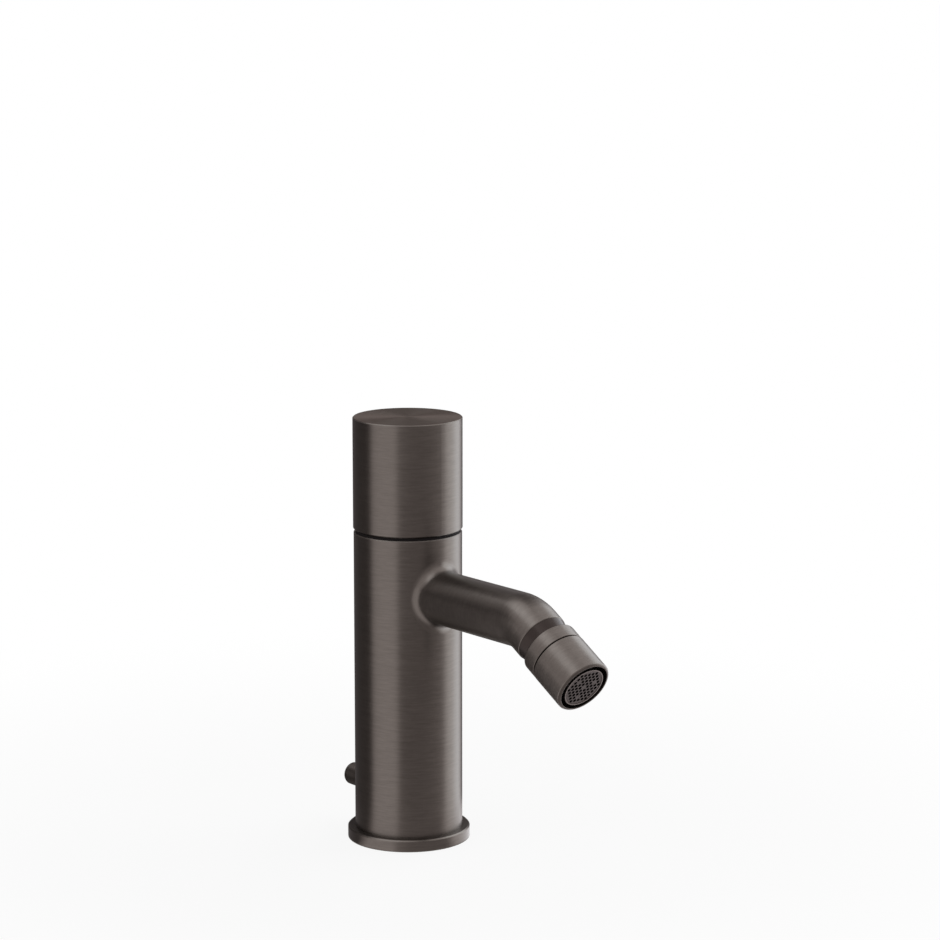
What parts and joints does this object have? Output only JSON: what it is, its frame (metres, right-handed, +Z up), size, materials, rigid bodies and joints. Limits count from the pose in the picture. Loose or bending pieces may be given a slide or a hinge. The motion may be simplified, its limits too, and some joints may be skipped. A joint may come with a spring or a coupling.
{
  "type": "bidet mixer",
  "caption": "Single-handle bidet mixer: round column on a base ring, coaxial knob, short bent spout with a ball-jointed aerator, and a pop-up lift knob at the rear.",
  "frame": {"origin": "on the column's axis, on the plane of the deck under the base ring", "axes": "+Z up along the column, +X along the spout, +Y to the user's right when the spout points at the user"},
  "size_m": [0.1582, 0.0512, 0.1786],
  "materials": {
    "brushed_gunmetal": "brushed, gunmetal coating on brass",
    "brass": "machined",
    "steel": "satin stainless steel",
    "black_rubber": "matte nitrile",
    "acetal": "matte acetal",
    "ceramic": "lapped",
    "dark_plastic": "matte moulded",
    "aerator_plastic": "satin moulded"
  },
  "bodies": {
    "root": {"body_column": "brushed_gunmetal", "base_ring": "brushed_gunmetal", "base_gasket": "black_rubber", "rod_guide": "acetal", "waterway_core": "brass", "core_orings": "black_rubber", "neck_ring": "dark_plastic", "cartridge_base": "acetal", "cartridge_port_seals": "black_rubber", "cartridge_fixed_disc": "ceramic", "cartridge_housing": "dark_plastic", "spindle_oring": "black_rubber", "cartridge_nut": "brass", "socket_nut": "brushed_gunmetal", "ball_rear_seat": "acetal"},
    "handle": {"cartridge_moving_disc": "ceramic", "cartridge_spindle": "brass", "hot_stop_ring": "acetal", "handle_hub": "brass", "handle_grub_screw": "steel", "handle_shell": "brushed_gunmetal", "handle_screw_cap": "dark_plastic"},
    "joint_tilt": {"ball_slip_ring": "acetal"},
    "joint_side": {"mouth_glide_ring": "acetal"},
    "aerator": {"ball_stem": "brass", "swivel_ring": "brushed_gunmetal", "swivel_sleeve": "brushed_gunmetal", "aerator_washer": "black_rubber", "aerator_housing": "aerator_plastic", "flow_regulator": "acetal", "aerator_screen": "aerator_plastic"},
    "waste": {"waste_rod": "steel", "waste_slider": "brass", "waste_pin": "steel", "waste_knob": "brushed_gunmetal"}
  },
  "joints": [
    {"name": "handle_turn", "type": "hinge", "parent": "root", "child": "handle", "pos_m": [0, 0, 0.1319], "axis": [0, 0, 1], "range_deg": [0, 105]},
    {"name": "aerator_tilt", "type": "hinge", "parent": "root", "child": "joint_tilt", "pos_m": [0.08722, 0, 0.10099], "axis": [0, 1, 0], "range_deg": [-15, 15]},
    {"name": "aerator_side", "type": "hinge", "parent": "joint_tilt", "child": "joint_side", "pos_m": [0.08722, 0, 0.10099], "axis": [0.5, 0, 0.866], "range_deg": [-15, 15]},
    {"name": "aerator_spin", "type": "hinge", "parent": "joint_side", "child": "aerator", "pos_m": [0.08722, 0, 0.10099], "axis": [0.866, 0, -0.5], "continuous": true},
    {"name": "waste_lift", "type": "slide", "parent": "root", "child": "waste", "axis": [0, 0, 1], "range_m": [0, 0.012]}
  ]
}
